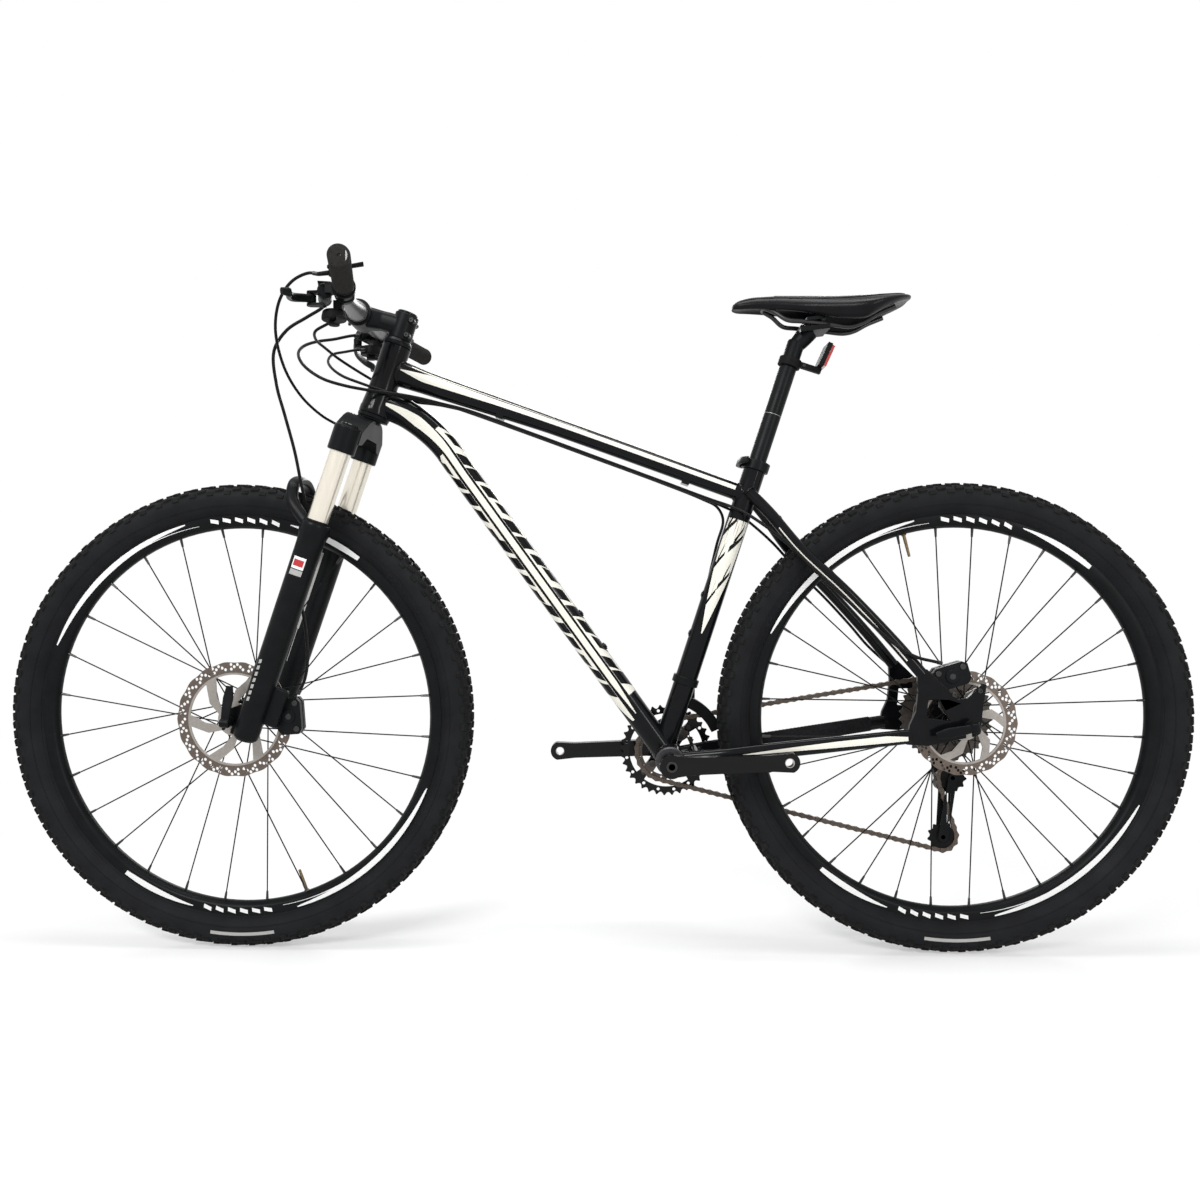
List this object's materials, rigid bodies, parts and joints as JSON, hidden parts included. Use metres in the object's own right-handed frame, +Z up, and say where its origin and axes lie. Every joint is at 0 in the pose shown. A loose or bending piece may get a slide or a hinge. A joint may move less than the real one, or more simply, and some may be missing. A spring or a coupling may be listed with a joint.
{
  "type": "mountain bike",
  "caption": "Hardtail mountain bike with a telescopic fork, hydraulic disc brakes, derailleur gears and quick-release wheels.",
  "frame": {"origin": "where the rear tyre meets the ground, in the middle plane of the bike", "axes": "+X towards the rear of the bike, +Y towards the rider's right, +Z up"},
  "size_m": [1.8555, 0.5816, 1.0342],
  "materials": {
    "frame_paint": "gloss black paint with cream graphic bands",
    "black_alloy": "satin black anodised",
    "gloss_black_alloy": "gloss black",
    "stanchion": "polished champagne",
    "grey_alloy": "satin grey",
    "rotor_steel": "brushed, drilled",
    "chain_steel": "dark brown-grey steel",
    "rail_steel": "black plated",
    "tyre_rubber": "matte black tread, dark grey sidewalls",
    "grip_rubber": "ribbed dark rubber",
    "black_plastic": "matte black",
    "reflector_lens": "red lens in a black holder",
    "saddle_vinyl": "smooth black synthetic cover"
  },
  "bodies": {
    "frame": {"frame": "frame_paint", "headset_lower_cup": "black_alloy", "headset_upper_cup": "black_alloy", "bottom_bracket": "grey_alloy", "seat_collar": "black_alloy", "chain": "chain_steel", "derailleur_body": "black_alloy", "front_derailleur_body": "black_alloy", "rear_caliper": "black_alloy", "rear_brake_hose": "black_plastic", "rear_shift_cable": "black_plastic", "front_shift_cable": "black_plastic", "rear_axle": "black_alloy"},
    "seatpost": {"seatpost": "black_alloy", "saddle": "saddle_vinyl", "saddle_rails": "rail_steel", "rear_reflector": "reflector_lens"},
    "collar_lever": {"seat_collar_lever": "black_alloy"},
    "steering": {"fork_crown": "black_alloy", "stanchion_left": "stanchion", "stanchion_right": "stanchion", "stem": "black_alloy", "top_cap": "black_alloy", "handlebar": "grey_alloy", "grip_left": "grip_rubber", "grip_right": "grip_rubber", "brake_perch_left": "black_alloy", "brake_perch_right": "black_alloy", "shifter_left": "black_plastic", "shifter_right": "black_plastic", "lockout_remote": "black_plastic", "lockout_cable": "black_plastic"},
    "left_brake_lever": {"brake_lever_left": "black_alloy"},
    "right_brake_lever": {"brake_lever_right": "black_alloy"},
    "left_shift_lever": {"shift_lever_left": "black_alloy"},
    "right_shift_lever": {"shift_lever_right": "black_alloy"},
    "fork_lockout": {"lockout_lever": "black_plastic"},
    "fork_lower": {"fork_lowers": "black_alloy", "front_caliper": "black_alloy", "front_brake_hose": "black_plastic", "front_axle": "black_alloy"},
    "front_qr": {"front_qr_lever": "black_alloy"},
    "front_wheel": {"front_tyre": "tyre_rubber", "front_rim": "gloss_black_alloy", "front_hub": "gloss_black_alloy", "front_rotor": "rotor_steel"},
    "rear_wheel": {"rear_tyre": "tyre_rubber", "rear_rim": "gloss_black_alloy", "rear_hub": "gloss_black_alloy", "rear_rotor": "rotor_steel"},
    "rear_qr": {"rear_qr_lever": "black_alloy"},
    "cassette": {"cassette": "chain_steel"},
    "crank": {"crank_right": "gloss_black_alloy", "crank_left": "gloss_black_alloy", "chainring_large": "black_alloy", "chainring_small": "rotor_steel"},
    "derailleur_cage": {"derailleur_cage": "black_alloy"},
    "guide_pulley": {"upper_pulley": "black_plastic"},
    "tension_pulley": {"lower_pulley": "black_plastic"},
    "front_derailleur_cage": {"front_derailleur_cage": "rotor_steel"}
  },
  "joints": [
    {"name": "steering_turn", "type": "hinge", "parent": "frame", "child": "steering", "pos_m": [-0.91139, 0, 0.83541], "axis": [0.3256, 0, 0.9455], "range_deg": [-60, 60], "deforming": ["rear_brake_hose", "rear_shift_cable", "front_shift_cable"]},
    {"name": "fork_travel", "type": "slide", "parent": "steering", "child": "fork_lower", "axis": [0.3256, 0, 0.9455], "range_m": [0, 0.1], "stiffness_N_per_m": 6000, "springref_m": -0.02, "deforming": ["front_brake_hose"]},
    {"name": "front_wheel_spin", "type": "hinge", "parent": "fork_lower", "child": "front_wheel", "pos_m": [-1.1195, 0, 0.368], "axis": [0, 1, 0], "continuous": true},
    {"name": "rear_wheel_spin", "type": "hinge", "parent": "frame", "child": "rear_wheel", "pos_m": [0, 0, 0.368], "axis": [0, 1, 0], "continuous": true},
    {"name": "crank_spin", "type": "hinge", "parent": "frame", "child": "crank", "pos_m": [-0.444, 0, 0.306], "axis": [0, 1, 0], "continuous": true},
    {"name": "cassette_spin", "type": "hinge", "parent": "frame", "child": "cassette", "pos_m": [0, 0, 0.368], "axis": [0, 1, 0], "continuous": true},
    {"name": "guide_pulley_spin", "type": "hinge", "parent": "derailleur_cage", "child": "guide_pulley", "pos_m": [0.0119, 0.0308, 0.2677], "axis": [0, 1, 0], "continuous": true},
    {"name": "tension_pulley_spin", "type": "hinge", "parent": "derailleur_cage", "child": "tension_pulley", "pos_m": [-0.0022, 0.0308, 0.1725], "axis": [0, 1, 0], "continuous": true},
    {"name": "derailleur_cage_swing", "type": "hinge", "parent": "frame", "child": "derailleur_cage", "pos_m": [0.002, 0.0308, 0.255], "axis": [0, 1, 0], "range_deg": [0, 30], "stiffness_Nm_per_rad": 1, "springref_deg": -28.65, "deforming": ["chain"]},
    {"name": "front_derailleur_shift", "type": "slide", "parent": "frame", "child": "front_derailleur_cage", "axis": [0, 1, 0], "range_m": [0, 0.007], "stiffness_N_per_m": 2000, "springref_m": -0.003},
    {"name": "left_brake_pull", "type": "hinge", "parent": "steering", "child": "left_brake_lever", "pos_m": [-0.96696, -0.128, 0.98989], "axis": [0, 0, 1], "range_deg": [0, 20], "stiffness_Nm_per_rad": 1, "springref_deg": -17.19},
    {"name": "right_brake_pull", "type": "hinge", "parent": "steering", "child": "right_brake_lever", "pos_m": [-0.96696, 0.128, 0.98989], "axis": [0, 0, -1], "range_deg": [0, 20], "stiffness_Nm_per_rad": 1, "springref_deg": -17.19},
    {"name": "left_shift_push", "type": "hinge", "parent": "steering", "child": "left_shift_lever", "pos_m": [-0.93927, -0.11, 0.95889], "axis": [0, 0, -1], "range_deg": [0, 30], "stiffness_Nm_per_rad": 0.5, "springref_deg": -17.19},
    {"name": "right_shift_push", "type": "hinge", "parent": "steering", "child": "right_shift_lever", "pos_m": [-0.93927, 0.11, 0.95889], "axis": [0, 0, 1], "range_deg": [0, 30], "stiffness_Nm_per_rad": 0.5, "springref_deg": -17.19},
    {"name": "lockout_turn", "type": "hinge", "parent": "steering", "child": "fork_lockout", "pos_m": [-0.92534, -0.163, 1.01789], "axis": [0, 0, 1], "range_deg": [0, 60]},
    {"name": "front_qr_open", "type": "hinge", "parent": "fork_lower", "child": "front_qr", "pos_m": [-1.1195, -0.0788, 0.368], "axis": [0.995, 0, -0.1], "range_deg": [0, 180]},
    {"name": "rear_qr_open", "type": "hinge", "parent": "frame", "child": "rear_qr", "pos_m": [0, -0.0956, 0.368], "axis": [-0.2402, 0, 0.9707], "range_deg": [0, 180]},
    {"name": "collar_lever_open", "type": "hinge", "parent": "frame", "child": "collar_lever", "pos_m": [-0.3283, 0.0273, 0.76874], "axis": [-0.3074, 0, -0.9516], "range_deg": [0, 170]},
    {"name": "seatpost_slide", "type": "slide", "parent": "frame", "child": "seatpost", "axis": [0.3074, 0, 0.9516], "range_m": [-0.12, 0.045]}
  ],
  "couplings": [
    {"joint": "cassette_spin", "follows": "crank_spin", "ratio": 0.75},
    {"joint": "guide_pulley_spin", "follows": "crank_spin", "ratio": -2.1818},
    {"joint": "tension_pulley_spin", "follows": "crank_spin", "ratio": 2.1818}
  ]
}
